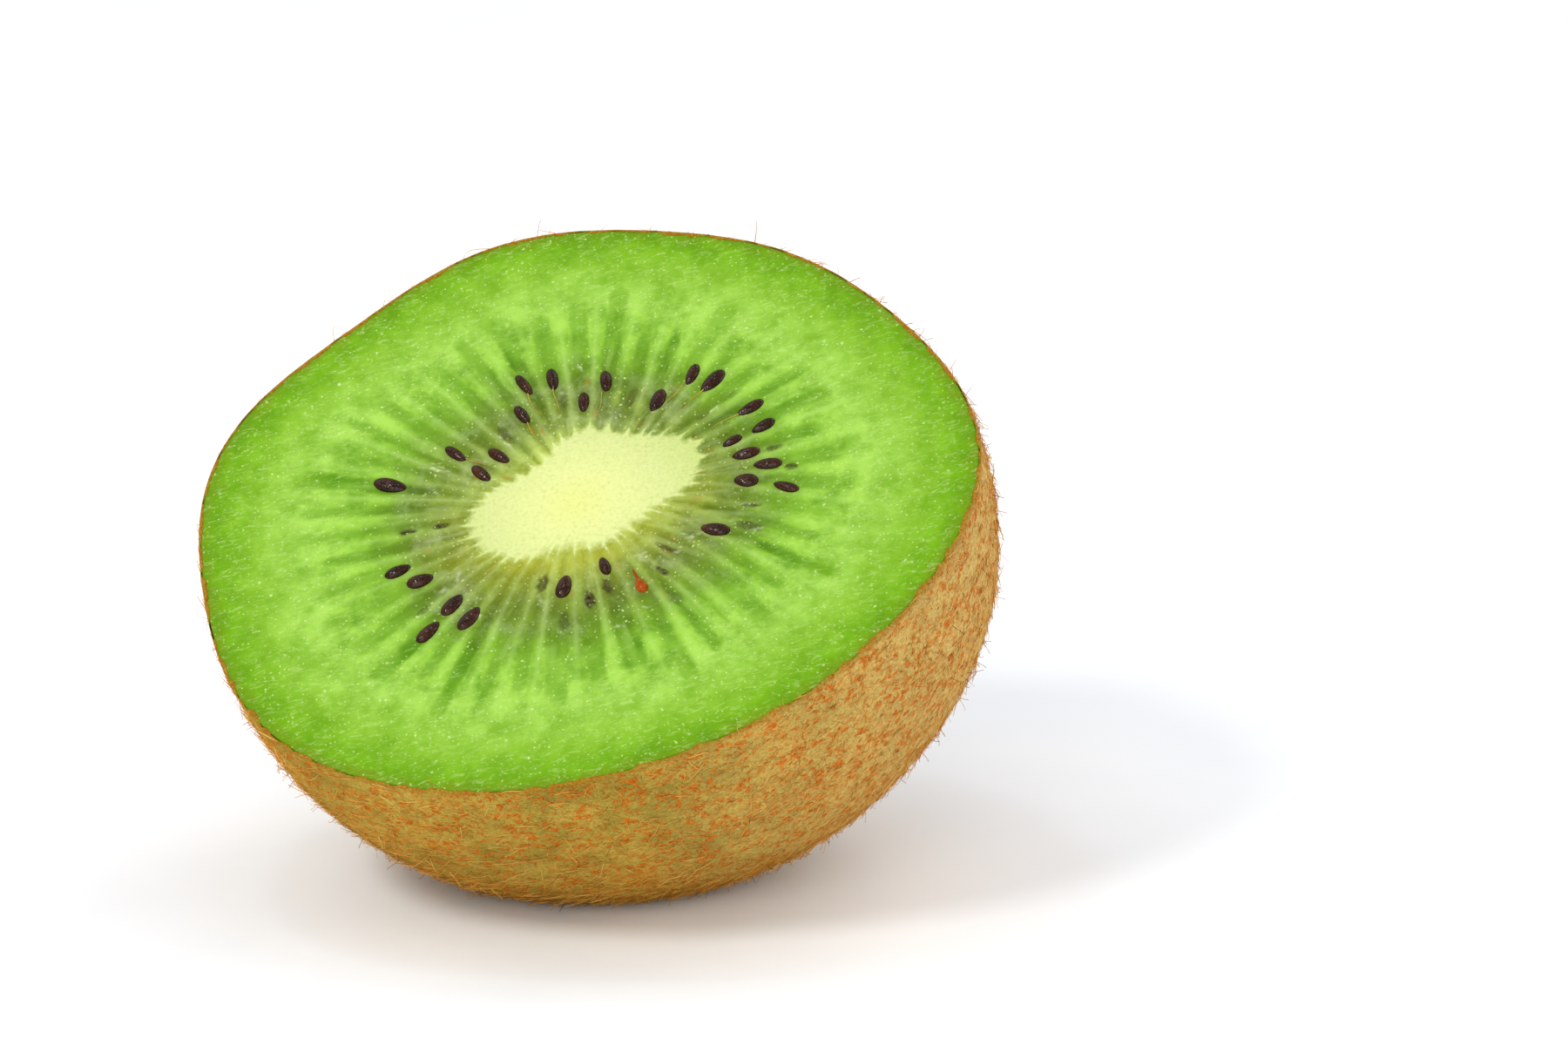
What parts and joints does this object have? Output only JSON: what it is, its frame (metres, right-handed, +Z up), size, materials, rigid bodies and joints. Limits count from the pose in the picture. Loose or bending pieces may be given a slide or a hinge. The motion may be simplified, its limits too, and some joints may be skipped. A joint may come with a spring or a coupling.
{
  "type": "halved kiwi fruit",
  "caption": "Half of an oval green kiwi fruit with hairy brown peel, cut across the middle, its face leaning back, with dark seeds in a ring round a pale core.",
  "frame": {"origin": "middle of the small flat spot that the fruit rests on", "axes": "+Z up; the cut face looks to -Y and leans back, and its long way rises a little toward +X"},
  "size_m": [0.0553, 0.047, 0.0427],
  "materials": {
    "flesh": "moist green fruit flesh with a pale core",
    "peel": "thin brown peel with short fine hairs",
    "seed": "glossy pitted seed coat",
    "ovule": "moist and smooth"
  },
  "bodies": {
    "root": {"kiwi_half": "flesh", "seed_01": "seed", "seed_02": "seed", "seed_03": "seed", "seed_04": "seed", "seed_05": "seed", "seed_06": "seed", "seed_07": "seed", "seed_08": "seed", "seed_09": "seed", "seed_10": "seed", "seed_11": "seed", "seed_12": "seed", "seed_13": "seed", "seed_14": "seed", "seed_15": "seed", "seed_16": "seed", "seed_17": "seed", "seed_18": "seed", "seed_19": "seed", "seed_20": "seed", "seed_21": "seed", "seed_22": "seed", "seed_23": "seed", "seed_24": "seed", "seed_25": "seed", "seed_26": "seed", "seed_27": "seed", "stray_ovule": "ovule"}
  },
  "joints": []
}
